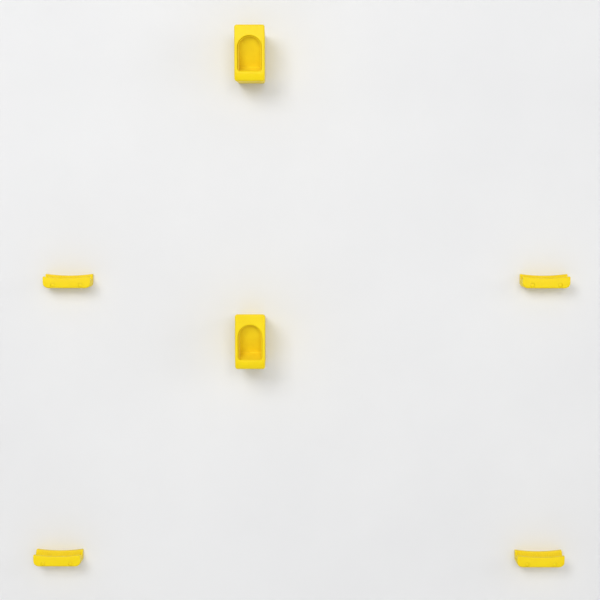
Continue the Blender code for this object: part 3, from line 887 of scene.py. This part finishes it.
def show_holders(looks):
    """Both pedal holders with their liners, screws, washers and plugs."""
    shell, liner, washer = holder_shell_mesh(), holder_liner_mesh(), washer_mesh()
    head_seat = HOLDER_SEAT - GAP - WASHER["thickness"] - GAP
    screw = screw_mesh("holder_screw", HOLDER_SCREW, head_seat)
    plug = plug_mesh("holder_plug", HOLDER_PLUG, HOLDER_SCREW)
    for level in LEVELS:
        x, z = holder_place(level)
        show(f"{level}_pedal_holder_shell", shell, "yellow_plastic", looks["plastic"], x, z)
        show(f"{level}_pedal_holder_liner", liner, "yellow_rubber", looks["rubber"], x, z)
        for spot in HOLDER_SPOTS:
            place = middle(f"{level}_pedal_holder_{spot}_screw")
            name = f"{level}_pedal_holder_{spot}"
            show(f"{name}_screw", screw, "zinc_plated_steel", looks["zinc"], *place)
            show(f"{name}_washer", washer, "zinc_plated_steel", looks["zinc"], *place)
            show(f"{name}_wall_plug", plug, "grey_nylon", looks["nylon"], *place)


def show_rests(looks):
    """All four wheel rests with their pads, screws, plugs and caps."""
    body, pad, cap = rest_body_mesh(), tread_pad_mesh(), cap_mesh()
    screw = screw_mesh("rest_screw", REST_SCREW, REST_SEAT - GAP)
    plug = plug_mesh("rest_plug", REST_PLUG, REST_SCREW)
    for level in LEVELS:
        for wheel in WHEELS:
            name = f"{level}_{wheel}_rest"
            x, z = rest_place(level, wheel)
            show(f"{name}_body", body, "yellow_plastic", looks["plastic"], x, z)
            show(f"{name}_tread_pad", pad, "yellow_rubber", looks["rubber"], x, z)
            for spot in REST_SPOTS:
                place = middle(f"{name}_{spot}_screw")
                show(f"{name}_{spot}_screw", screw, "zinc_plated_steel", looks["zinc"], *place)
                show(f"{name}_{spot}_wall_plug", plug, "grey_nylon", looks["nylon"], *place)
                show(f"{name}_{spot}_cap", cap, "yellow_plastic", looks["plastic"], *place)


# ---- the stage ----

def stage_piece(name, points, faces, look):
    """A mesh that belongs to the room, not to the rack."""
    mesh = bpy.data.meshes.new(name)
    mesh.from_pydata(points, [], faces)
    mesh.materials.append(look)
    made = bpy.data.objects.new(name, mesh)
    bpy.context.scene.collection.objects.link(made)


def holder_holes():
    """The opening behind a holder, as a list of one box: left, right, bottom and top."""
    side = HOLDER_BACK["half_width"] - HOLE_MARGIN
    return [(-side, side, HOLDER_BACK["bottom"] + HOLE_MARGIN, HOLDER_BACK["top"] - HOLE_MARGIN)]


def rest_holes():
    """The opening behind a rest, as boxes side by side that follow its curved outline."""
    side = REST_HALF_WIDTH - HOLE_MARGIN
    turns = [math.pi * (i / REST_HOLE_COLUMNS - 0.5) for i in range(REST_HOLE_COLUMNS + 1)]
    edges = [side * math.sin(turn) for turn in turns]
    holes = []
    for left, right in zip(edges, edges[1:]):
        sections = rest_section(left), rest_section(right)
        bottom = max(section[0][1] for section in sections) + HOLE_MARGIN
        top = min(section[-1][1] for section in sections) - HOLE_MARGIN
        holes.append((left, right, bottom, top))
    return holes


def build_wall():
    """A grid of cells. The cells right behind the rack's pieces, which hide them, are left out."""
    places = [(holder_place(level), holder_holes()) for level in LEVELS]
    places += [(rest_place(level, wheel), rest_holes()) for level in LEVELS for wheel in WHEELS]
    holes = []
    for (x, z), boxes in places:
        holes += [(x + left, x + right, z + low, z + high) for left, right, low, high in boxes]
    xs = sorted({-WALL_REACH, WALL_REACH, *(x for hole in holes for x in hole[:2])})
    zs = sorted({FLOOR_Z, WALL_REACH, *(z for hole in holes for z in hole[2:])})
    points = [(x, WALL_Y, z) for x in xs for z in zs]
    faces = []
    for i in range(len(xs) - 1):
        for k in range(len(zs) - 1):
            x, z = (xs[i] + xs[i + 1]) / 2, (zs[k] + zs[k + 1]) / 2
            if not any(h[0] < x < h[1] and h[2] < z < h[3] for h in holes):
                corner = i * len(zs) + k
                faces.append((corner, corner + len(zs), corner + len(zs) + 1, corner + 1))
    stage_piece("wall", points, faces, wall_look())


def wall_look():
    """White emulsion on plaster. Its back lets light and sight through to the fixings."""
    made, tree, shader, position = material("white_wall")
    tone = colours(tree, noise(tree, position, 3.0, 4.0), [
        (0.30, (0.800, 0.800, 0.805)), (0.70, (0.830, 0.830, 0.832))])
    tree.links.new(tone, shader.inputs["Base Color"])
    shader.inputs["Roughness"].default_value = 0.85
    shader.inputs["Specular IOR Level"].default_value = 0.1
    tree.links.new(
        bumped(tree, noise(tree, position, 260.0, 3.0), 0.0004, 0.12), shader.inputs["Normal"])
    clear = add(tree, "ShaderNodeBsdfTransparent")
    blend = add(tree, "ShaderNodeMixShader")
    tree.links.new(position.node.outputs["Backfacing"], blend.inputs[0])
    tree.links.new(shader.outputs["BSDF"], blend.inputs[1])
    tree.links.new(clear.outputs["BSDF"], blend.inputs[2])
    tree.links.new(blend.outputs["Shader"], tree.nodes["Material Output"].inputs["Surface"])
    return made


def floor_look():
    """A pale, matte floor."""
    made, tree, shader, position = material("pale_floor")
    tone = colours(tree, noise(tree, position, 2.0, 5.0), [
        (0.30, (0.66, 0.665, 0.67)), (0.70, (0.72, 0.725, 0.73))])
    tree.links.new(tone, shader.inputs["Base Color"])
    tree.links.new(
        between(tree, noise(tree, position, 9.0, 4.0), 0.62, 0.78), shader.inputs["Roughness"])
    shader.inputs["Specular IOR Level"].default_value = 0.3
    return made


def soft_light(name, place, target, size, power):
    """A square area lamp that faces its target."""
    lamp = bpy.data.lights.new(name, 'AREA')
    lamp.shape = 'SQUARE'
    lamp.size = size
    lamp.energy = power
    made = bpy.data.objects.new(name, lamp)
    made.location = place
    aim = Vector(target) - Vector(place)
    made.rotation_euler = aim.to_track_quat('-Z', 'Y').to_euler()
    bpy.context.scene.collection.objects.link(made)


def build_stage(low, high):
    """The wall, the floor, the lamps and an even white world."""
    centre = (low + high) / 2
    build_wall()
    reach = FLOOR_REACH
    corners = [(-reach, -reach), (reach, -reach), (reach, reach), (-reach, reach)]
    stage_piece("floor", [(x, y, FLOOR_Z) for x, y in corners], [(0, 1, 2, 3)], floor_look())
    for name, (place, size, power) in LAMPS.items():
        soft_light(name, place, centre, size, power)
    world = bpy.data.worlds.new("studio")
    world.use_nodes = True
    background = world.node_tree.nodes["Background"]
    background.inputs["Color"].default_value = (1.0, 1.0, 1.0, 1.0)
    background.inputs["Strength"].default_value = WORLD_STRENGTH
    bpy.context.scene.world = world


def build_camera(low, high):
    """In front of the rack and a little above its middle, with a lens that frames its front."""
    centre = (low + high) / 2
    place = Vector(CAMERA_PLACE)
    aim = centre - place
    camera = bpy.data.cameras.new("camera")
    camera.sensor_width = SENSOR_WIDTH
    half_view = max(high.x - low.x, high.z - low.z) / 2 * CAMERA_MARGIN
    camera.lens = camera.sensor_width / 2 * (aim.length - (centre.y - low.y)) / half_view
    made = bpy.data.objects.new("camera", camera)
    made.location = place
    made.rotation_euler = aim.to_track_quat('-Z', 'Y').to_euler()
    bpy.context.scene.collection.objects.link(made)
    bpy.context.scene.camera = made


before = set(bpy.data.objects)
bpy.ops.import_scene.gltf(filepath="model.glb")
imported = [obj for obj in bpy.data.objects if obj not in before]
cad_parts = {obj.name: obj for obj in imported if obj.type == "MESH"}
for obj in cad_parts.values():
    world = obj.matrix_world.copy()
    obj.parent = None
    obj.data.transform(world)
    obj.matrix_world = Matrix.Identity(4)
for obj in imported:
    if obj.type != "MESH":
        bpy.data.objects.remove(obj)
cad_low, cad_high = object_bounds()
bpy.context.scene.view_settings.view_transform = 'Standard'
looks = {
    "plastic": yellow_plastic(), "rubber": yellow_rubber(),
    "zinc": zinc_plated_steel(), "nylon": grey_nylon(),
}
build_camera(cad_low, cad_high)
show_holders(looks)
show_rests(looks)
build_stage(cad_low, cad_high)
